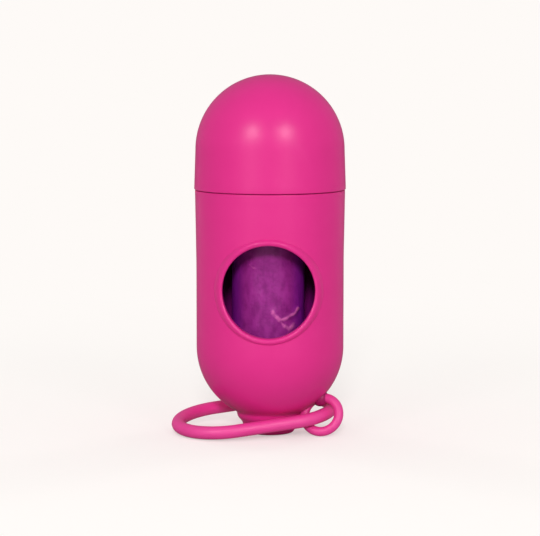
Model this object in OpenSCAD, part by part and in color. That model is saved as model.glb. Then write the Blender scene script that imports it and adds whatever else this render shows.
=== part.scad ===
// Capsule dispenser for rolls of dog bags, standing on its foot.
// Millimetres. +Z runs up the capsule, the window faces -Y, Z = 0 is the flat of the foot.

/* [Capsule] */
// outside diameter of the cap at the seam
cap_d = 40; // [39.5:0.1:41]
// how far the lower shell stands inside the cap's edge at the seam
shoulder_step = 0.2; // [0.1:0.05:0.3]
// draft of the lower shell between the seam and its straight part, on the radius
body_draft = 0.3; // [0.1:0.05:0.4]
// draft of the cap between the seam and its dome, on the radius
cap_draft = 0.35; // [0.1:0.05:0.45]
// height of the seam above the floor
seam_z = 64.7; // [62:0.1:68]
// height where the lower shell's draft ends
waist_z = 46; // [42:0.5:52]
// height of the lower dome's lowest point, where the foot holds it off the floor
dome_low = 3.6; // [3.5:0.1:4.2]
// length of the cap between the seam and its dome
cap_skirt = 10.6; // [10:0.1:14]
// width of the dark line at the seam
seam_gap = 0.3; // [0.1:0.05:0.5]
// small bevel on both edges at the seam
seam_bevel = 0.35; // [0.1:0.05:0.45]

/* [Walls and inside] */
// wall of the lower shell at its straight part
body_wall = 2; // [1.8:0.1:2.4]
// wall of the neck that the cap goes over
neck_wall = 1; // [0.8:0.05:1.1]
// height of the neck above the seam
neck_h = 9.5; // [7:0.5:9.8]
// radial clearance of the cap on the neck
cap_fit = 0.06; // [0.03:0.01:0.1]
// wall of the cap's dome
cap_wall = 1.8; // [1.5:0.1:2.2]
// height of the solid floor that the roll stands on
floor_z = 13.8; // [13.6:0.1:15]
// diameter of the low stub that centres the roll
stub_d = 7.8; // [6:0.1:8]
// height of the stub above the floor
stub_h = 8; // [4:0.5:12]

/* [Window] */
// diameter of the round window
window_d = 24; // [20:0.5:25]
// height of the window's centre
window_z = 39.5; // [38:0.5:41]
// width of the raised bead around the window
bead_w = 1.7; // [1.2:0.1:2.2]
// height of the bead above the shell
bead_h = 0.7; // [0.3:0.05:1]

/* [Foot] */
// diameter of the foot's shoulder
foot_d = 17.6; // [17:0.1:17.8]
// diameter of the foot's lower disc
foot_disc_d = 14.7; // [14:0.1:15]
// diameter of the flat that stands on the floor
foot_flat_d = 11.8; // [11:0.1:12.4]
// bevel under the lower disc, inwards from its widest point
foot_bevel = 0.9; // [0.7:0.1:1.2]
// height of that bevel
foot_bevel_h = 0.6; // [0.4:0.1:0.8]
// how far the slope between disc and shoulder stays inside the shoulder
foot_slope = 0.45; // [0.3:0.05:0.6]
// height of the lower disc's widest point
foot_disc_z = 2.8; // [2.4:0.1:3]
// height of the shoulder
foot_shoulder_z = 5.2; // [4.9:0.1:5.4]

/* [Roll] */
// diameter of the roll with its loose outer bag
roll_d = 19.8; // [17:0.2:26]
// width of the roll
roll_l = 59.5; // [50:0.5:60]
// outside diameter of the cardboard core
core_d = 11; // [10.6:0.1:14]
// wall of the cardboard core
core_wall = 1.1; // [0.8:0.1:1.2]
// thickness of the loose outer bag
loose_t = 0.4; // [0.3:0.05:0.8]
// sideways place of the roll in the shell
roll_x = -0.5; // [-1.5:0.1:1.5]

/* [Link ring] */
// outside diameter of the link ring
ring_d = 11.8; // [11.7:0.05:11.9]
// thickness of the link ring
ring_t = 2.5; // [2.3:0.05:2.55]
// clearance of the ring in the bridge's passage
ring_play = 0.2; // [0.1:0.05:0.25]
// how far the ring's centre lies outside the dome, level with it
ring_out = 6.4; // [6.36:0.01:6.44]
// where the ring sits round the capsule, in degrees from the right towards the front
ring_round = 20.4; // [20:0.1:21]
// turn of the ring about the upright
ring_yaw = -15.6; // [-16:0.1:-15]
// lean of the ring backwards, against the dome
ring_lean = 25.4; // [25:0.1:26]
// wall of the small bridge around the ring's passage
bridge_wall = 0.8; // [0.7:0.05:0.9]
// where on the ring the bridge sits, in degrees from its right-hand side
bridge_turn = 102; // [100:0.5:106]

/* [Strap loop] */
// thickness of the strap
strap_t = 3.5; // [3:0.1:3.6]
// distance between the centres of the strap's two ends
strap_c = 15.5; // [15.2:0.1:15.8]
// how much wider the strap's ends are than the dome level with the ring, on the radius
strap_room = 4.74; // [4.7:0.02:4.8]
// how far under the ring's centre the strap passes through it
strap_drop = 0.24; // [0.2:0.01:0.28]
// where on its bend the strap hangs in the ring, in degrees
strap_hang = 52.8; // [52:0.1:53.4]
// turn of the strap about the upright
strap_yaw = 15; // [14.5:0.1:15.5]
// rise of the strap's right end
strap_rise = 6.1; // [5.9:0.1:6.3]
// rise of the strap's back edge
strap_bank = 4.4; // [4.2:0.1:4.6]

/* [Hidden] */
$fn = 96;
// room between the wound film and the loose bag
slack = 0.15;
// room under the roll and under the cap's ledge
stand = 0.05;
// grip of the film on the core, on the radius
grip = 0.05;
// width of the open gap at the back of the loose bag, in degrees
flap = 24;
// small bevel on inner edges
edge = 0.5;
// how far the film's edges stay inside the core's ends
tuck = 0.25;
// how far a cutting body runs past what it cuts
over = 1;
cap_r = cap_d / 2;
body_r = cap_r - shoulder_step;
waist_r = body_r - body_draft;
dome_z = dome_low + waist_r;
crown_r = cap_r - cap_draft;
crown_z = seam_z + cap_skirt;
bore_r = waist_r - body_wall;
neck_r = bore_r + neck_wall;
neck_z = seam_z + neck_h;
shoulder_z = seam_z - seam_gap / 2;
cap_z = seam_z + seam_gap / 2;
skirt_r = neck_r + cap_fit;
window_r = window_d / 2;
bead_r = window_r + bead_w;
roll_r = roll_d / 2;
wound_r = roll_r - loose_t - slack;
core_r = core_d / 2;
roll_z = floor_z + stand;
ring_r = (ring_d - ring_t) / 2;
ring_z = ring_r * cos(ring_lean) + ring_t / 2;
passage_r = ring_t / 2 + ring_play;
bridge_r = passage_r + bridge_wall;
// radius of the dome level with the ring's centre, and the ring's place from it
level_r = sqrt(pow(waist_r, 2) - pow(dome_z - ring_z, 2));
ring_x = (level_r + ring_out) * cos(ring_round);
ring_y = -(level_r + ring_out) * sin(ring_round);
// the strap's place, from the point of its bend that hangs in the ring
strap_r = level_r + strap_room;
hang_u = strap_c / 2 + strap_r * cos(strap_hang);
hang_v = -strap_r * sin(strap_hang);
hang_x = hang_u * cos(strap_rise) - hang_v * sin(strap_bank) * sin(strap_rise);
hang_y = hang_v * cos(strap_bank);
strap_x = ring_x - hang_x * cos(strap_yaw) + hang_y * sin(strap_yaw);
strap_y = ring_y - hang_x * sin(strap_yaw) - hang_y * cos(strap_yaw);
strap_z = ring_z - strap_drop - hang_u * sin(strap_rise)
  - hang_v * sin(strap_bank) * cos(strap_rise);

pink = [0.72, 0.04, 0.24];
purple = [0.35, 0.03, 0.26];

// Half section of the foot, the lower dome, the drafted tube and the neck.
module body_outline() {
  polygon([
    [0, 0], [foot_flat_d / 2, 0],
    [foot_disc_d / 2 - foot_bevel, foot_bevel_h], [foot_disc_d / 2, foot_disc_z],
    [foot_d / 2 - foot_slope, (foot_disc_z + foot_shoulder_z) / 2],
    [foot_d / 2, foot_shoulder_z], [foot_d / 2, dome_z / 2], [0, dome_z / 2]
  ]);
  intersection() {
    translate([0, dome_z]) circle(r = waist_r);
    square([waist_r, dome_z]);
  }
  polygon([
    [0, dome_z], [waist_r, dome_z], [waist_r, waist_z],
    [body_r, shoulder_z - seam_bevel], [body_r - seam_bevel, shoulder_z],
    [neck_r, shoulder_z], [neck_r, neck_z - edge], [neck_r - edge, neck_z], [0, neck_z]
  ]);
}

// Half section of the room inside: straight bore, round bottom corner, flat floor.
module body_room() {
  translate([0, dome_z]) square([bore_r, neck_z]);
  intersection() {
    translate([0, dome_z]) circle(r = bore_r);
    translate([0, floor_z]) square([bore_r, dome_z - floor_z + over]);
  }
}

module window_prism(r) {
  translate([0, 0, window_z]) rotate([90, 0, 0]) cylinder(r = r, h = cap_d);
}

// One step of the raised bead: a ring seen from the front that follows the round shell.
module bead_step(r_in, r_out, rise) {
  intersection() {
    difference() {
      translate([0, 0, window_z - r_out - over])
        cylinder(r = waist_r + rise, h = 2 * (r_out + over));
      translate([0, 0, window_z - r_out - 2 * over])
        cylinder(r = waist_r - edge, h = 2 * (r_out + 2 * over));
    }
    difference() {
      window_prism(r_out);
      window_prism(r_in);
    }
  }
}

module place_ring() {
  translate([ring_x, ring_y, ring_z]) rotate([90 - ring_lean, 0, ring_yaw]) children();
}

module body_shell() {
  color(pink) {
    difference() {
      union() {
        rotate_extrude() body_outline();
        bead_step(window_r - over, bead_r, bead_h * 0.6);
        bead_step(window_r - over, bead_r - bead_w / 4, bead_h);
        place_ring() rotate([0, 0, bridge_turn]) translate([ring_r, 0]) sphere(r = bridge_r);
      }
      rotate_extrude() body_room();
      window_prism(window_r);
      place_ring() rotate_extrude() translate([ring_r, 0]) circle(r = passage_r, $fn = 48);
    }
    translate([roll_x, 0, floor_z - over]) cylinder(d = stub_d, h = stub_h + over - edge);
    translate([roll_x, 0, floor_z + stub_h - edge])
      cylinder(d1 = stub_d, d2 = stub_d - 2 * edge, h = edge);
  }
}

module cap_outline() {
  polygon([
    [0, cap_z], [cap_r - seam_bevel, cap_z], [cap_r, cap_z + seam_bevel],
    [crown_r, crown_z], [0, crown_z]
  ]);
  intersection() {
    translate([0, crown_z]) circle(r = crown_r);
    translate([0, crown_z]) square([crown_r, crown_r]);
  }
}

module cap_room() {
  polygon([
    [0, cap_z - over], [skirt_r + edge, cap_z - over], [skirt_r + edge, cap_z],
    [skirt_r, cap_z + edge], [skirt_r, neck_z + stand], [bore_r, neck_z + stand],
    [bore_r, neck_z + 2 * stand], [0, neck_z + 2 * stand]
  ]);
  intersection() {
    translate([0, crown_z]) circle(r = crown_r - cap_wall);
    translate([0, neck_z]) square([bore_r, crown_r + cap_skirt]);
  }
}

module cap() {
  color(pink) rotate_extrude() difference() {
    cap_outline();
    cap_room();
  }
}

module tube(r_out, r_in, low, high) {
  translate([roll_x, 0, low]) difference() {
    cylinder(r = r_out, h = high - low);
    translate([0, 0, -over]) cylinder(r = r_in, h = high - low + 2 * over);
  }
}

module core_tube() {
  color([0.62, 0.48, 0.33]) tube(core_r, core_r - core_wall, roll_z, roll_z + roll_l);
}

module bag_roll() {
  color(purple) tube(wound_r, core_r - grip, roll_z + tuck, roll_z + roll_l - tuck);
}

module lead_bag() {
  color(purple) translate([roll_x, 0, roll_z]) rotate([0, 0, 90 + flap / 2])
    rotate_extrude(angle = 360 - flap)
      translate([roll_r - loose_t, 2 * tuck]) square([loose_t, roll_l - 4 * tuck]);
}

module link_ring() {
  color(pink) place_ring() rotate_extrude() translate([ring_r, 0]) circle(d = ring_t, $fn = 48);
}

module strap_end(turn) {
  rotate([0, 0, turn]) translate([strap_c / 2, 0, 0]) rotate([0, 0, -90])
    rotate_extrude(angle = 180) translate([strap_r, 0]) circle(d = strap_t, $fn = 48);
}

module strap_side(side) {
  translate([-strap_c / 2, side * strap_r, 0]) rotate([0, 90, 0])
    cylinder(d = strap_t, h = strap_c, $fn = 48);
}

module strap_loop() {
  color(pink) translate([strap_x, strap_y, strap_z])
    rotate([strap_bank, -strap_rise, strap_yaw]) {
      strap_end(0);
      strap_end(180);
      strap_side(1);
      strap_side(-1);
    }
}

body_shell();
cap();
core_tube();
bag_roll();
lead_bag();
link_ring();
strap_loop();
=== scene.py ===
# Capsule dispenser for dog bags: a pink moulded capsule on a small foot, a roll of purple
# bags behind its round window, and a soft link ring and loop at its foot.
import math

import bmesh
import bpy
import numpy as np
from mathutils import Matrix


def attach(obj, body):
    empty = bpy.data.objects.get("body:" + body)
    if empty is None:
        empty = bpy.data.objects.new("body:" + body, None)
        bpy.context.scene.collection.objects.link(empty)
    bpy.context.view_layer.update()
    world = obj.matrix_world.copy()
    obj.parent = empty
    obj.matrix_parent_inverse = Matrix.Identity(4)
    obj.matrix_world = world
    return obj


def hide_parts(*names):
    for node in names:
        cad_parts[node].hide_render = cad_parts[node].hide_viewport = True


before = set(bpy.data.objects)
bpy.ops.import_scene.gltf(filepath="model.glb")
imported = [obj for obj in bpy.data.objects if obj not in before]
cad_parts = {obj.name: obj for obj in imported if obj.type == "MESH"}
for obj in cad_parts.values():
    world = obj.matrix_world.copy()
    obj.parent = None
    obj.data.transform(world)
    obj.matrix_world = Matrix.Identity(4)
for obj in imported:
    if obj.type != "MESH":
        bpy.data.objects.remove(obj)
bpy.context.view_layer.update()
MM = 0.001


# The lower shell: one injection moulding in satin pink plastic. A drafted tube runs into a
# round bottom with a turned foot. The tool's side core makes the round window and its bead,
# and the cap goes on over the plain neck above the shoulder.
waist_r, shoulder_r, shoulder_z, waist_z, edge_round = 19.5, 19.8, 64.6, 46.0, 0.22
bore_r, neck_r, neck_z = 17.5, 18.5, 74.2
dome_z, floor_z = 23.1, 13.8
window_r, window_z = 12.0, 39.5
bead_crest, bead_rise = 12.85, 0.72
around, upright = 144, 60
PINK = (0.70, 0.020, 0.232)


def join_grids(name, grids, keep_up=None):
    """One mesh object from grids of points in millimetres, with shared edges welded."""
    verts, faces, base = [], [], 0
    for grid, closed in grids:
        rows, cols = grid.shape[:2]
        verts.append(grid.reshape(-1, 3))
        for i in range(rows - 1):
            for j in range(cols if closed else cols - 1):
                k = (j + 1) % cols
                faces.append((base + i * cols + j, base + i * cols + k,
                              base + (i + 1) * cols + k, base + (i + 1) * cols + j))
        base += rows * cols
    mesh = bpy.data.meshes.new(name)
    mesh.from_pydata((np.concatenate(verts) * MM).tolist(), [], faces)
    work = bmesh.new()
    work.from_mesh(mesh)
    bmesh.ops.remove_doubles(work, verts=work.verts, dist=2e-6)
    bmesh.ops.recalc_face_normals(work, faces=work.faces)
    work.to_mesh(mesh)
    work.free()
    piece = bpy.data.objects.new(name, mesh)
    bpy.context.scene.collection.objects.link(piece)
    return piece


def smooth_by_angle(piece, degrees=32):
    """Smooth shading with a crisp edge where two faces meet at more than the angle."""
    work = bmesh.new()
    work.from_mesh(piece.data)
    for face in work.faces:
        face.smooth = True
    for edge in work.edges:
        if len(edge.link_faces) == 2:
            edge.smooth = edge.calc_face_angle(0.0) < math.radians(degrees)
    work.to_mesh(piece.data)
    work.free()


def revolve(profile, turns=around):
    """A grid turned round the Z axis from (radius, height) points, in millimetres."""
    angle = np.linspace(-math.pi, math.pi, turns + 1)
    line = np.array(profile, float)
    grid = np.empty((len(line), turns + 1, 3))
    grid[:, :, 0] = line[:, :1] * np.sin(angle)
    grid[:, :, 1] = -line[:, :1] * np.cos(angle)
    grid[:, :, 2] = line[:, 1:]
    grid[:, -1] = grid[:, 0]
    return grid


def arc(cx, cz, radius, start, end, steps):
    """Points of an arc in a half section, angles in degrees from the outward direction."""
    turn = np.radians(np.linspace(start, end, steps + 1))
    return [(cx + radius * math.cos(a), cz + radius * math.sin(a)) for a in turn]


def wall_radius(z):
    """Outside radius of the drafted tube at a height."""
    return np.interp(z, [waist_z, shoulder_z - edge_round], [waist_r, shoulder_r])


def bead_height(rho, side):
    """How far the bead stands out at a distance from the window's centre."""
    foot = 13.62 + 0.55 * side ** 2
    half = np.where(rho < bead_crest, bead_crest - window_r, foot - bead_crest)
    u = np.clip(np.abs(rho - bead_crest) / half, 0, 1)
    return bead_rise * np.where(rho < bead_crest, np.sqrt(1 - u ** 2), (1 - u ** 2) ** 0.9)


def window_sheet(low, high, radius_at, bead):
    """The tube unrolled as rings that start as the window's circle and end as the tube's
    two rims and its back line, so the round opening has no ragged edge."""
    turn = np.linspace(-math.pi, math.pi, around + 1)
    lift = np.linspace(low, high, upright + 1)
    rim_a = np.concatenate([turn[:-1], np.full(upright, math.pi), turn[:0:-1],
                            np.full(upright, -math.pi)])
    rim_z = np.concatenate([np.full(around, low), lift[:-1], np.full(around, high),
                            lift[:0:-1]])
    tall = np.where(rim_z > window_z, 24.7, 16.4) * np.sign(rim_z - window_z + 1e-9)
    phi = np.arctan2(np.where((rim_z == low) | (rim_z == high), tall,
                              (rim_z - window_z) / np.where(rim_z > window_z, high - window_z,
                                                            window_z - low) * abs(tall)),
                     rim_a * waist_r)
    rows = []
    near = np.concatenate([window_r + 0.85 * (1 - np.cos(np.linspace(0, math.pi / 2, 9))),
                           np.linspace(12.95, 14.3, 14)]) if bead else np.array([window_r])
    if bead:
        near[:9] = window_r + 0.85 * (1 - np.cos(np.linspace(0, math.pi / 2, 9)))
    last = 14.9
    for rho in list(near) + ([last] if bead else []):
        x, z = rho * np.cos(phi), window_z + rho * np.sin(phi)
        out = radius_at(z) + (bead_height(rho, np.cos(phi)) if bead else 0)
        rows.append(np.stack([x, -np.sqrt(out ** 2 - x ** 2), z], 1))
    start_rho = last if bead else window_r
    start_z = window_z + start_rho * np.sin(phi)
    start_a = np.arcsin(start_rho * np.cos(phi) / radius_at(start_z))
    for t in np.linspace(0, 1, 27 if bead else 19)[1:] ** 1.25:
        a, z = start_a + (rim_a - start_a) * t, start_z + (rim_z - start_z) * t
        out = radius_at(z)
        rows.append(np.stack([out * np.sin(a), -out * np.cos(a), z], 1))
    return np.array(rows), phi


outer_sheet, phi = window_sheet(dome_z, shoulder_z - edge_round, wall_radius, True)
inner_sheet, phi_in = window_sheet(dome_z, neck_z - 0.3, lambda z: np.full_like(z, bore_r), False)
inner_x, inner_z = window_r * np.cos(phi), window_z + window_r * np.sin(phi)
inner_sheet[0] = np.stack([inner_x, -np.sqrt(bore_r ** 2 - inner_x ** 2), inner_z], 1)
outer_sheet[0, :, 1] = -np.sqrt(wall_radius(inner_z) ** 2 - inner_x ** 2)
window_wall = np.array([outer_sheet[0] + (inner_sheet[0] - outer_sheet[0]) * t
                        for t in np.linspace(0, 1, 6)])
bottom = arc(0, dome_z, waist_r, 0, -61.5, 40)
bottom += [(9.05, 5.66), (8.88, 5.48), (8.80, 5.2), (8.76, 4.9), (8.62, 4.45), (8.38, 4.02),
           (8.0, 3.62), (7.66, 3.24), (7.42, 2.85), (7.25, 2.35), (7.02, 1.75), (6.78, 1.15),
           (6.55, 0.7), (6.32, 0.32), (6.08, 0.09), (5.85, 0.0), (3.0, 0.0), (0.0, 0.0)]
rim = [(shoulder_r, shoulder_z - edge_round)]
rim += arc(shoulder_r - edge_round, shoulder_z - edge_round, edge_round, 0, 90, 5)
rim += [(neck_r + 0.25, shoulder_z)] + arc(neck_r + 0.25, shoulder_z + 0.25, 0.25, 270, 180, 4)
rim += [(neck_r, z) for z in np.linspace(66, 73.5, 6)]
rim += arc(neck_r - 0.35, neck_z - 0.35, 0.35, 0, 90, 5) + arc(bore_r + 0.3, neck_z - 0.3, 0.3, 90, 180, 5)
well = arc(0, dome_z, bore_r, 0, -29, 14)
floor_edge = math.sqrt(bore_r ** 2 - (dome_z - floor_z) ** 2)
well += [(floor_edge, floor_z), (floor_edge - 0.6, floor_z), (8, floor_z), (0, floor_z)]
stub = [(0, floor_z - 1), (3.9, floor_z - 1), (3.9, 15), (3.9, 18), (3.9, 21.3),
        (3.75, 21.62), (3.4, 21.8), (2, 21.8), (0, 21.8)]
stub_grid = revolve(stub, 48)
stub_grid[:, :, 0] -= 0.5
shell = join_grids("shell_moulding", [(outer_sheet, True), (window_wall, True),
                                      (inner_sheet, True), (revolve(bottom), False),
                                      (revolve(rim), False), (revolve(well), False),
                                      (stub_grid, False)])

# The bridge by the foot is what is left of the shell round the ring's curved passage.
ring_centre, ring_turn, ring_lean = (13.77, -5.121, 5.451), math.radians(-15.6), math.radians(25.4)
ring_r, ring_cord, bridge_r, bridge_centre = 4.65, 1.25, 2.25, (13.363, -2.982, 9.559)


class Rule:
    """A Geometry Nodes tree with named inputs; each call of node() adds one node."""

    def __init__(self, name, inputs):
        self.tree = bpy.data.node_groups.new(name, "GeometryNodeTree")
        panel = self.tree.interface
        panel.new_socket("Geometry", in_out="OUTPUT", socket_type="NodeSocketGeometry")
        for key, kind in {**inputs, "Finish": "Material"}.items():
            panel.new_socket(key, in_out="INPUT", socket_type="NodeSocket" + kind)
        self.given = self.tree.nodes.new("NodeGroupInput").outputs

    def node(self, kind, settings=None, inputs=None, out=0):
        node = self.tree.nodes.new("GeometryNode" + kind if kind[:4] not in ("Shad", "Func")
                                   else kind)
        for key, value in (settings or {}).items():
            setattr(node, key, value)
        for key, value in (inputs or {}).items():
            if isinstance(value, bpy.types.NodeSocket):
                self.tree.links.new(value, node.inputs[key])
            else:
                node.inputs[key].default_value = value
        return node.outputs[out]

    def maths(self, how, a, b=0.0):
        return self.node("ShaderNodeMath", {"operation": how}, {0: a, 1: b})

    def close(self, geometry):
        """The end of every tree: real geometry, shaded smooth, in the given material."""
        real = self.node("RealizeInstances", inputs={"Geometry": geometry})
        smooth = self.node("SetShadeSmooth", inputs={"Geometry": real})
        done = self.node("SetMaterial", inputs={"Geometry": smooth,
                                                "Material": self.given["Finish"]})
        self.tree.links.new(done, self.tree.nodes.new("NodeGroupOutput").inputs[0])

    def make(self, name, sizes):
        """Run the tree once and keep what it gives as a plain mesh with outward faces."""
        holder = bpy.data.objects.new(name, bpy.data.meshes.new(name))
        bpy.context.scene.collection.objects.link(holder)
        step = holder.modifiers.new(self.tree.name, "NODES")
        step.node_group = self.tree
        for socket in self.tree.interface.items_tree:
            if socket.name in sizes:
                step[socket.identifier] = sizes[socket.name]
        bpy.context.view_layer.update()
        scene_now = bpy.context.evaluated_depsgraph_get()
        mesh = bpy.data.meshes.new_from_object(holder.evaluated_get(scene_now))
        holder.modifiers.clear()
        holder.data = mesh
        work = bmesh.new()
        work.from_mesh(mesh)
        bmesh.ops.recalc_face_normals(work, faces=work.faces)
        work.to_mesh(mesh)
        work.free()
        return holder


# A moulded cord: a round section swept along a closed track of two bends and two straights,
# with a hair of flash where the halves of the mould met, on its outside and its inside.
cord_rule = Rule("moulded_cord", {"Straight": "Float", "Bend": "Float", "Cord": "Float",
                                  "Flash": "Float", "Steps": "Int", "Sides": "Int",
                                  "Place": "Vector", "Turn": "Vector"})
given = cord_rule.given
circle = cord_rule.node("CurvePrimitiveCircle", inputs={"Resolution": given["Steps"],
                                                        "Radius": given["Bend"]})
point = cord_rule.node("InputPosition")
split_x = cord_rule.node("ShaderNodeSeparateXYZ", inputs={0: point}, out=0)
split_y = cord_rule.node("ShaderNodeSeparateXYZ", inputs={0: point}, out=1)
stretch = cord_rule.maths("MULTIPLY", cord_rule.maths("SIGN", split_x), given["Straight"])
track = cord_rule.node("SetPosition", inputs={
    "Geometry": circle, "Offset": cord_rule.node("ShaderNodeCombineXYZ", inputs={"X": stretch})})
core = cord_rule.node("CurvePrimitiveCircle", inputs={
    "Resolution": given["Sides"],
    "Radius": cord_rule.maths("SUBTRACT", given["Cord"], given["Flash"])})
at_split = cord_rule.maths("LESS_THAN", cord_rule.maths("ABSOLUTE", split_y), 1e-6)
hair = cord_rule.maths("MULTIPLY", cord_rule.maths("SIGN", split_x),
                       cord_rule.maths("MULTIPLY", at_split, given["Flash"]))
section = cord_rule.node("SetPosition", inputs={
    "Geometry": core, "Offset": cord_rule.node("ShaderNodeCombineXYZ", inputs={"X": hair})})
tube = cord_rule.node("CurveToMesh", inputs={"Curve": track, "Profile Curve": section})
cord_rule.close(cord_rule.node("Transform", inputs={
    "Geometry": tube, "Translation": given["Place"], "Rotation": given["Turn"]}))


def ring_cord_mesh(name, cord, flash, steps, sides, finish=None):
    """The link ring's round track, swept with a cord of the given radius in millimetres."""
    return cord_rule.make(name, {
        "Straight": 0.0, "Bend": ring_r * MM, "Cord": cord * MM, "Flash": flash * MM,
        "Steps": steps, "Sides": sides, "Place": [v * MM for v in ring_centre],
        "Turn": (math.radians(90) - ring_lean, 0.0, ring_turn), "Finish": finish})


ball = revolve(arc(0, 0, bridge_r, -90, 90, 24), 48) + np.array(bridge_centre)
boss = join_grids("bridge_ball", [(ball, False)])
cutter = ring_cord_mesh("passage_core", 1.45, 0.0, 120, 32)
for tool, how in ((boss, "UNION"), (cutter, "DIFFERENCE")):
    step = shell.modifiers.new(tool.name, "BOOLEAN")
    step.operation, step.solver, step.object = how, "EXACT", tool
bpy.context.view_layer.update()
carved = bpy.data.meshes.new_from_object(shell.evaluated_get(bpy.context.evaluated_depsgraph_get()))
shell.modifiers.clear()
shell.data = carved
bpy.data.objects.remove(boss)
bpy.data.objects.remove(cutter)
smooth_by_angle(shell)


class Signal:
    """A shader socket that can be used in a Python sum; each operator adds a Math node."""

    def __init__(self, finish, socket):
        self.finish, self.socket = finish, socket

    def _sum(self, how, a, b=None):
        return self.finish.node("ShaderNodeMath", {"operation": how}, {0: a, 1: b} if b is not None
                                else {0: a})

    def __add__(self, other): return self._sum("ADD", self, other)
    def __radd__(self, other): return self._sum("ADD", other, self)
    def __sub__(self, other): return self._sum("SUBTRACT", self, other)
    def __rsub__(self, other): return self._sum("SUBTRACT", other, self)
    def __mul__(self, other): return self._sum("MULTIPLY", self, other)
    def __rmul__(self, other): return self._sum("MULTIPLY", other, self)
    def __truediv__(self, other): return self._sum("DIVIDE", self, other)
    def __rtruediv__(self, other): return self._sum("DIVIDE", other, self)
    def __pow__(self, other): return self._sum("POWER", self, other)
    def __rpow__(self, other): return self._sum("POWER", other, self)
    def __neg__(self): return self._sum("MULTIPLY", self, -1.0)
    def __abs__(self): return self._sum("ABSOLUTE", self)


class Finish:
    """One material: its Principled shader, and one way to add any other node."""

    def __init__(self, name, color, roughness, **constants):
        self.material = bpy.data.materials.new(name)
        self.material.use_nodes = True
        self.material.diffuse_color = (*color, 1)
        self.tree = self.material.node_tree
        self.tree.nodes.clear()
        self.shader = self.tree.nodes.new("ShaderNodeBsdfPrincipled")
        self.output = self.tree.nodes.new("ShaderNodeOutputMaterial")
        self.tree.links.new(self.shader.outputs[0], self.output.inputs["Surface"])
        self.feed(self.shader, {"Base Color": (*color, 1), "Roughness": roughness, **constants})

    def feed(self, node, inputs):
        for key, value in inputs.items():
            if isinstance(value, Signal):
                self.tree.links.new(value.socket, node.inputs[key])
            else:
                node.inputs[key].default_value = value

    def node(self, kind, settings=None, inputs=None, out=0):
        node = self.tree.nodes.new(kind)
        for key, value in (settings or {}).items():
            if key == "stops":
                ramp = node.color_ramp
                while len(ramp.elements) < len(value):
                    ramp.elements.new(1.0)
                for element, (place, colour) in zip(ramp.elements, value):
                    element.position, element.color = place, colour
            else:
                setattr(node, key, value)
        self.feed(node, inputs or {})
        return Signal(self, node.outputs[out])

    def place(self):
        """Where a point lies on the piece, in metres."""
        return self.node("ShaderNodeTexCoord", out="Object")

    def split(self, vector):
        node = self.tree.nodes.new("ShaderNodeSeparateXYZ")
        self.tree.links.new(vector.socket, node.inputs[0])
        return [Signal(self, output) for output in node.outputs]

    def noise(self, where, scale, detail=2.0, roughness=0.5):
        return self.node("ShaderNodeTexNoise", {}, {"Vector": where, "Scale": scale,
                                                    "Detail": detail, "Roughness": roughness})

    def blend(self, factor, a, b):
        """A colour between two colours."""
        return self.node("ShaderNodeMix", {"data_type": "RGBA"}, {0: factor, 6: a, 7: b}, out=2)

    def ease(self, value, low, high):
        """0 below low, 1 above high, smooth between them."""
        return self.node("ShaderNodeMapRange", {"interpolation_type": "SMOOTHSTEP"},
                         {"Value": value, "From Min": low, "From Max": high})

    def relief(self, height, distance, strength=1.0, under=None):
        """A bump from a height between 0 and 1; distance is its full height in metres."""
        inputs = {"Height": height, "Distance": distance, "Strength": strength}
        if under is not None:
            inputs["Normal"] = under
        return self.node("ShaderNodeBump", {}, inputs)

    def wear(self, **inputs):
        self.feed(self.shader, {key.replace("_", " "): value for key, value in inputs.items()})


def satin_moulding(name, gate):
    """Satin pink plastic: fine spark grain, slight flow marks and shade drift, handling rub.
    Inside the capsule up to the neck's rim, and round the small lug that the ring threads through,
    the colour is painted darker: painted shade for the shadow in those places."""
    f = Finish(name, PINK, 0.42, **{"IOR": 1.5, "Specular IOR Level": 0.5})
    where = f.place()
    x, y, z = f.split(where)
    grain = f.noise(where, 5200, 2.0, 0.6)
    orange = f.noise(where, 420, 2.0, 0.5)
    drift = f.noise(where, 38, 3.0, 0.55)
    flow = f.node("ShaderNodeTexWave", {"wave_type": "RINGS", "rings_direction": "SPHERICAL"},
                  {"Vector": f.node("ShaderNodeVectorMath", {"operation": "SUBTRACT"},
                                    {0: where, 1: gate}),
                   "Scale": 42.0, "Distortion": 5.0, "Detail": 2.0, "Detail Scale": 1.4})
    rub = f.ease(f.noise(where, 150, 4.0, 0.62), 0.56, 0.74)
    shade = f.blend(drift * 0.55 + flow * 0.12, (0.680, 0.017, 0.220, 1), (0.725, 0.024, 0.246, 1))
    shade = f.blend(rub * 0.10, shade, (0.76, 0.045, 0.28, 1))
    # Painted shade: inside the capsule up to the neck's rim the colour is painted a dark violet, for the
    # shadow in there.
    under = f.node("ShaderNodeMath", {"operation": "MINIMUM"}, {0: z - dome_z * MM, 1: 0.0})
    inside_shade = f.ease((x * x + y * y + under * under) ** 0.5, 0.0181, 0.0176)
    shade = f.blend(inside_shade * f.ease(z, 0.0743, 0.0741), shade, (0.24, 0.006, 0.185, 1))
    # Painted shade: a dark patch painted round the small lug, for the shadow round it.
    lug = [v * MM for v in bridge_centre]
    near = ((x - lug[0]) ** 2 + (y - lug[1]) ** 2 + (z - lug[2]) ** 2) ** 0.5
    shade = f.blend(f.ease(near, 0.0028, 0.0024), shade, (0.32, 0.005, 0.10, 1))
    height = grain * 0.5 + orange * 0.5
    f.wear(Base_Color=shade, Roughness=0.285 + grain * 0.07 + rub * 0.05,
           Normal=f.relief(height, 0.00003, 0.55))
    return f.material


shell.data.materials.clear()
shell.data.materials.append(satin_moulding("shell_satin_pink", (0.0, 0.0, 0.0)))
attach(shell, "shell")
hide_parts("body_shell")


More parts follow.
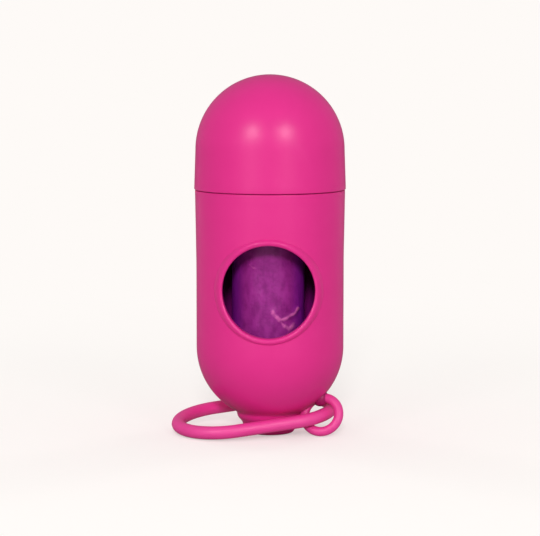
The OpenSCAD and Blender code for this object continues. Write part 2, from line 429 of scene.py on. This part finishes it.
# The cap: the upper half of the capsule, moulded in the same satin pink plastic. Its skirt
# slides down over the neck and stops just above the shoulder, which leaves a fine dark line.
cap_edge, cap_low, crown_z, crown_r = 20.0, 64.8, 75.3, 19.65
skirt_z = cap_low + edge_round
cap_out = [(18.96, cap_low)] + arc(cap_edge - edge_round, skirt_z, edge_round, -90, 0, 6)
cap_out += [(cap_edge - (cap_edge - crown_r) * t, skirt_z + (crown_z - skirt_z) * t)
            for t in np.linspace(0, 1, 9)[1:-1]]
cap_out += arc(0, crown_z, crown_r, 0, 90, 60)
cap_in = [(18.96, cap_low), (18.56, cap_low + 0.4), (18.56, 70), (18.56, 74.25), (17.5, 74.25)]
cap_in += arc(0, crown_z, 17.85, -3, 90, 40)
cap = join_grids("cap_moulding", [(revolve(cap_out, 192), False), (revolve(cap_in, 192), False)])
smooth_by_angle(cap)
cap.data.materials.append(satin_moulding("cap_satin_pink", (0.0, 0.0, 0.095)))
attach(cap, "lid")
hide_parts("cap")


# The link ring: a small ring of soft pink rubber, moulded in two halves, so a faint line
# runs round its outside. It threads through the bridge at the foot and carries the loop.
def soft_rubber(name, light, dark):
    """Smooth moulded rubber: soft sheen, faint bloom and lint-fine pits."""
    f = Finish(name, light, 0.46, **{"IOR": 1.5, "Specular IOR Level": 0.8})
    where = f.place()
    bloom = f.noise(where, 120, 3.0, 0.55)
    pits = f.noise(where, 2600, 2.0, 0.6)
    f.wear(Base_Color=f.blend(bloom, (*dark, 1), (*light, 1)),
           Roughness=0.38 + bloom * 0.16,
           Normal=f.relief(pits * 0.6 + bloom * 0.4, 0.00004, 0.5))
    return f.material


ring = ring_cord_mesh("link_ring_cord", ring_cord, 0.02, 160, 40,
                      soft_rubber("link_rubber_pink", (0.79, 0.045, 0.300),
                                  (0.72, 0.028, 0.255)))
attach(ring, "ring")
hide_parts("link_ring")


# The loop: a closed cord of the same rubber, moulded as one long ring. It lies around the
# foot, higher at the right, where it hangs in the link ring.
loop_cord, loop_half, loop_bend = 1.75, 7.75, 13.03
loop_place, loop_turns = (-4.001, 0.832, 4.342), (4.4, -6.1, 15.0)
loop = cord_rule.make("strap_loop_cord", {
    "Straight": loop_half * MM, "Bend": loop_bend * MM, "Cord": loop_cord * MM,
    "Flash": 0.03 * MM, "Steps": 192, "Sides": 44, "Place": [v * MM for v in loop_place],
    "Turn": [math.radians(v) for v in loop_turns],
    "Finish": soft_rubber("loop_rubber_pink", (0.81, 0.048, 0.310), (0.73, 0.030, 0.260))})
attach(loop, "strap")
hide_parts("strap_loop")


# The core: a short tube of grey-brown spiral-wound card that the film is wound on.
def spiral_card(name):
    """Raw card: grey-brown fibre and fine flecks."""
    f = Finish(name, (0.42, 0.31, 0.20), 0.85)
    where = f.place()
    fibre = f.noise(f.node("ShaderNodeMapping", {}, {"Vector": where, "Scale": (1, 1, 5)}), 500,
                    4.0, 0.6)
    fleck = f.ease(f.noise(where, 2400, 2.0, 0.5), 0.66, 0.74)
    shade = f.blend(fibre, (0.34, 0.24, 0.15, 1), (0.50, 0.38, 0.26, 1))
    f.wear(Base_Color=f.blend(fleck * 0.6, shade, (0.20, 0.14, 0.09, 1)),
           Normal=f.relief(fibre, 0.00012, 0.7))
    return f.material


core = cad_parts["core_tube"]
core.data.materials.clear()
core.data.materials.append(spiral_card("core_card_brown"))


# The roll: a long strip of purple film, two layers thick, wound on the core. From above its
# edge shows as a fine spiral, a little uneven from turn to turn.
roll_x, roll_low, roll_high = -0.5, 14.1, 73.1
wound_r, loose_r = 9.3, 9.85


def wound_film(name):
    """Thin purple film: soft sheen, fine machine-direction lines and small crinkles. It is painted
    paler along the sharp creases, a painted highlight for the glint on their ridges, and a bluer
    violet at the roll's left and right sides, a painted shade."""
    f = Finish(name, (0.30, 0.022, 0.24), 0.36, **{"IOR": 1.5, "Specular IOR Level": 0.3})
    where = f.place()
    x, y, z = f.split(where)
    # Painted shade: the roll's left and right sides are painted a bluer violet, as in shade.
    side = f.ease(abs(x - roll_x * MM), 0.0055, 0.0096)
    streak = f.noise(f.node("ShaderNodeMapping", {}, {"Vector": where, "Scale": (1, 1, 0.16)}),
                     900, 3.0, 0.6)
    crinkle = f.noise(where, 620, 4.0, 0.62)
    cloud = f.noise(where, 300, 3.0, 0.6)
    mottle = f.ease(cloud * 0.5 + crinkle * 0.3 + streak * 0.2, 0.36, 0.62)
    shade = f.blend(mottle, (0.24, 0.011, 0.185, 1), (0.355, 0.024, 0.27, 1))
    shade = f.blend(side, shade, (0.29, 0.010, 0.38, 1))
    # Painted highlight: the film is painted paler along the creases, for the glint on their ridges.
    strain = f.node("ShaderNodeAttribute", {"attribute_name": "strain"}, out=2)
    torn = f.noise(where, 900, 4.0, 0.75)
    painted_glint = f.ease(strain * (0.2 + torn), 0.24, 0.74)
    dents = f.noise(where, 260, 3.0, 0.6)
    f.wear(Base_Color=f.blend(painted_glint, shade, (0.66, 0.11, 0.42, 1)),
           Roughness=0.32 + crinkle * 0.2,
           Normal=f.relief(dents * 0.6 + crinkle * 0.3 + streak * 0.1, 0.0005, 0.6))
    return f.material


film = wound_film("bag_film_purple")
core_wall, film_turns, film_edge = 5.5, 22, 0.25
barrel = [(core_wall, roll_low + film_edge)]
barrel += [(wound_r, z) for z in np.linspace(roll_low + film_edge, roll_high - film_edge, 30)]
barrel += [(core_wall, roll_high - film_edge), (core_wall, 40), (core_wall, roll_low + film_edge)]
roll_grid = revolve(barrel, 96)
roll_grid[:, :, 0] += roll_x
roll = join_grids("bag_roll_wound", [(roll_grid, False)])
smooth_by_angle(roll, 40)
roll.data.materials.append(film)

edge_rule = Rule("wound_film_edge", {"Inner": "Float", "Outer": "Float", "Turns": "Float",
                                     "Film": "Float", "Stand": "Float", "Ragged": "Float",
                                     "Seed": "Int", "Place": "Vector"})
given = edge_rule.given
spiral = edge_rule.node("CurveSpiral", inputs={
    "Resolution": 48, "Rotations": given["Turns"], "Start Radius": given["Inner"],
    "End Radius": given["Outer"], "Height": 0.0})
fray = edge_rule.node("FunctionNodeRandomValue", inputs={
    2: 0.0, 3: given["Ragged"], "Seed": given["Seed"]}, out=1)
spiral = edge_rule.node("SetPosition", inputs={
    "Geometry": spiral, "Offset": edge_rule.node("ShaderNodeCombineXYZ", inputs={"Z": fray})})
strip = edge_rule.node("CurvePrimitiveQuadrilateral", inputs={
    "Width": given["Film"], "Height": given["Stand"]})
coil = edge_rule.node("CurveToMesh", inputs={"Curve": spiral, "Profile Curve": strip,
                                             "Fill Caps": True})
edge_rule.close(edge_rule.node("Transform", inputs={
    "Geometry": coil, "Translation": given["Place"]}))

ends = [edge_rule.make("film_edge", {
    "Inner": (core_wall + 0.15) * MM, "Outer": (wound_r - 0.1) * MM, "Turns": film_turns,
    "Film": 0.07 * MM, "Stand": 0.4 * MM, "Ragged": 0.06 * MM, "Seed": seed,
    "Place": (roll_x * MM, 0.0, height * MM), "Finish": film})
    for seed, height in ((7, roll_low + 0.2), (8, roll_high - 0.26))]
with bpy.context.temp_override(active_object=roll, selected_editable_objects=[roll, *ends]):
    bpy.ops.object.join()
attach(roll, "roll")
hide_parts("bag_roll")


# The loose bag: the outermost bag, already pulled once and no longer tight on the roll. Its
# film stands off in soft puckers, with a sharp crease low on the right of the window.
# Painted highlight: each crease's height also paints the film paler along it, for the glint on its ridge.
creases = (
    (0.46, 0.78, ((1.0, 33.2), (1.8, 32.1), (2.8, 31.0))),
    (0.46, 0.60, ((2.8, 31.0), (3.9, 31.2), (5.4, 31.9), (6.7, 32.7), (7.5, 33.8))),
    (0.38, 0.50, ((2.8, 31.0), (3.6, 29.9))), (0.40, 0.95, ((4.2, 29.4), (5.1, 28.7), (6.3, 29.5))),
    (0.28, 0.55, ((-5.2, 45.5), (-4.5, 44.9), (-3.6, 44.6))),
    (0.22, 0.50, ((-2.4, 37.9), (-1.9, 37.2), (-1.6, 36.5))))
tallest = 0.46


def ridge(a, z):
    """How far the creases stand up at an angle and height, in millimetres."""
    x = loose_r * np.sin(a) + roll_x
    jag = 1 + 0.25 * np.sin(1.9 * x + 1.3 * z) * np.sin(2.3 * z - 0.9 * x)
    high = np.zeros_like(x)
    for tall, wide, path in creases:
        for (x0, z0), (x1, z1) in zip(path, path[1:]):
            run = np.array([x1 - x0, z1 - z0])
            t = np.clip(((x - x0) * run[0] + (z - z0) * run[1]) / (run @ run), 0, 1)
            away = np.hypot(x - x0 - t * run[0], z - z0 - t * run[1])
            high = np.maximum(high, tall * jag * np.exp(-(away / wide) ** 1.6))
    return high * (np.cos(a) > 0)


def pucker(a, z):
    """How far the loose film stands off the roll, in millimetres, without its creases."""
    soft = 0.16 * np.sin(3 * a + 0.11 * z + 0.6) * np.sin(0.17 * z + 2.1 * np.sin(a))
    soft += 0.07 * np.sin(7 * a + 0.31 * z) * np.sin(0.43 * z + 4.0 * np.sin(2 * a + 1))
    fine = 0.035 * np.sin(19 * a - 0.5 * z + 1.7) * np.sin(1.3 * z + 3.0 * np.sin(5 * a))
    return soft + fine + 0.03 * np.sin(2.4 * z + 6 * np.sin(4 * a)) * np.sin(23 * a + 0.9 * z)


turn = np.concatenate([np.linspace(-math.pi + 0.21, -1.2, 30)[:-1], np.linspace(-1.2, 1.2, 141),
                       np.linspace(1.2, math.pi - 0.21, 30)[1:]])
lift = np.concatenate([np.linspace(14.5, 27, 15)[:-1], np.linspace(27, 52, 151),
                       np.linspace(52, 72.8, 20)[1:]])
a, z = np.meshgrid(turn, lift)
skin = loose_r - 0.22 + 0.42 * pucker(a, z) + 0.5 * ridge(a, z)
sleeve = []
for gap in (0.0, -0.06):
    r = skin + gap
    sleeve.append(np.stack([roll_x + r * np.sin(a), -r * np.cos(a), z], 2))
outer, inner = sleeve
sides = [np.stack([outer[0], inner[0]]), np.stack([outer[-1], inner[-1]]),
         np.stack([outer[:, 0], inner[:, 0]]), np.stack([outer[:, -1], inner[:, -1]])]
loose = join_grids("lead_bag_loose", [(outer, False), (inner, False)]
                   + [(edge, False) for edge in sides])
smooth_by_angle(loose, 70)
spots = np.empty(len(loose.data.vertices) * 3)
loose.data.vertices.foreach_get("co", spots)
spots = spots.reshape(-1, 3) / MM
# Crease heights, kept on the loose film for its painted highlight along the creases.
strain = ridge(np.arctan2(spots[:, 0] - roll_x, -spots[:, 1]), spots[:, 2])
pale = loose.data.attributes.new("strain", "FLOAT", "POINT")
pale.data.foreach_set("value", strain / tallest)
loose.data.materials.append(wound_film("loose_film_purple"))
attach(loose, "roll")
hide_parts("lead_bag")


# The camera stands 0.6 m in front of the capsule, a little above its middle and looking
# slightly down, with a long lens.
view = bpy.data.cameras.new("view")
view.lens, view.sensor_width = 151.89, 36.0
camera = bpy.data.objects.new("view", view)
camera.location = (0.01434, -0.59983, 0.1071)
camera.rotation_euler = (math.radians(90 - 6.02), 0, math.radians(1.37))
bpy.context.scene.collection.objects.link(camera)
bpy.context.scene.camera = camera


# Soft light: tall lamps at the front left and right, one in the middle that reaches into the
# window, two from behind that pick out the edges, and a pale room.
def lamp(name, azimuth, elevation, distance, size, watts, aim=(0, 0, 0.05)):
    light = bpy.data.lights.new(name, "AREA")
    light.shape, light.size, light.energy = "DISK", size, watts
    holder = bpy.data.objects.new(name, light)
    a, e = math.radians(azimuth), math.radians(elevation)
    away = np.array([math.sin(a) * math.cos(e), -math.cos(a) * math.cos(e), math.sin(e)])
    spot = np.array(aim) + distance * away
    holder.location = spot
    holder.rotation_euler = (math.radians(90) - e, 0, a)
    bpy.context.scene.collection.objects.link(holder)
    return holder


for name, side in (("left", -28.0), ("right", 27.0)):
    lamp("key_" + name, side, 29.0, 0.9, 0.24, 0.6)
    lamp("sheen_" + name, side, 29.0, 0.92, 0.24, 0.88).visible_diffuse = False
    lamp("low_" + name, side, 14.0, 1.1, 0.66, 1.0).visible_diffuse = False
lamp("front_fill", 0.0, 19.5, 1.4, 0.20, 10.4).visible_glossy = False
for name, side in (("edge_left", -1), ("edge_right", 1)):
    lamp(name, side * 135.0, 5.0, 0.9, 0.20, 2.7).visible_glossy = False
room = bpy.data.worlds.new("room")
room.use_nodes = True
bpy.context.scene.world = room
nodes, links = room.node_tree.nodes, room.node_tree.links
nodes.clear()
sky, seen = nodes.new("ShaderNodeBackground"), nodes.new("ShaderNodeBackground")
dim, choose = nodes.new("ShaderNodeBackground"), nodes.new("ShaderNodeMixShader")
sky.inputs[0].default_value, sky.inputs[1].default_value = (1, 0.99, 0.98, 1), 0.55
dim.inputs[0].default_value, dim.inputs[1].default_value = (1, 0.97, 0.98, 1), 0.22
seen.inputs[0].default_value, seen.inputs[1].default_value = (0.991, 0.956, 0.930, 1), 1.0
ray, pick = nodes.new("ShaderNodeLightPath"), nodes.new("ShaderNodeMixShader")
end = nodes.new("ShaderNodeOutputWorld")
links.new(ray.outputs["Is Glossy Ray"], choose.inputs[0])
links.new(sky.outputs[0], choose.inputs[1])
links.new(dim.outputs[0], choose.inputs[2])
links.new(ray.outputs["Is Camera Ray"], pick.inputs[0])
links.new(choose.outputs[0], pick.inputs[1])
links.new(seen.outputs[0], pick.inputs[2])
links.new(pick.outputs[0], end.inputs[0])


# The floor: a wide pale sheet that takes the soft shadow and shows as warm white.
mesh = bpy.data.meshes.new("floor")
half, drop = 6.0, -0.00005
mesh.from_pydata([(-half, -half, drop), (half, -half, drop), (half, half, drop),
                  (-half, half, drop)], [], [(0, 1, 2, 3)])
ground = bpy.data.objects.new("floor", mesh)
bpy.context.scene.collection.objects.link(ground)
paper = bpy.data.materials.new("floor_paper")
paper.use_nodes = True
nodes, links = paper.node_tree.nodes, paper.node_tree.links
nodes.clear()
matte, glow = nodes.new("ShaderNodeBsdfDiffuse"), nodes.new("ShaderNodeEmission")
dull, soft = nodes.new("ShaderNodeBsdfDiffuse"), nodes.new("ShaderNodeMixShader")
both, ray = nodes.new("ShaderNodeAddShader"), nodes.new("ShaderNodeLightPath")
far, near = nodes.new("ShaderNodeEmission"), nodes.new("ShaderNodeMixShader")
spot, span = nodes.new("ShaderNodeTexCoord"), nodes.new("ShaderNodeVectorMath")
fade = nodes.new("ShaderNodeMapRange")
pick, end = nodes.new("ShaderNodeMixShader"), nodes.new("ShaderNodeOutputMaterial")
span.operation, fade.interpolation_type = "LENGTH", "SMOOTHSTEP"
fade.inputs["From Min"].default_value, fade.inputs["From Max"].default_value = 0.06, 0.30
matte.inputs[0].default_value = (0.62, 0.600, 0.584, 1)
dull.inputs[0].default_value = (0.22, 0.20, 0.20, 1)
far.inputs[0].default_value, far.inputs[1].default_value = (0.991, 0.956, 0.930, 1), 1.0
glow.inputs[0].default_value, glow.inputs[1].default_value = (0.980, 0.954, 0.930, 1), 0.43
links.new(spot.outputs["Object"], span.inputs[0])
links.new(span.outputs["Value"], fade.inputs["Value"])
links.new(matte.outputs[0], both.inputs[0])
links.new(glow.outputs[0], both.inputs[1])
links.new(fade.outputs[0], near.inputs[0])
links.new(both.outputs[0], near.inputs[1])
links.new(far.outputs[0], near.inputs[2])
links.new(ray.outputs["Is Glossy Ray"], soft.inputs[0])
links.new(matte.outputs[0], soft.inputs[1])
links.new(dull.outputs[0], soft.inputs[2])
links.new(ray.outputs["Is Camera Ray"], pick.inputs[0])
links.new(soft.outputs[0], pick.inputs[1])
links.new(near.outputs[0], pick.inputs[2])
links.new(pick.outputs[0], end.inputs[0])
ground.data.materials.append(paper)

scene = bpy.context.scene
scene.view_settings.view_transform = "Standard"
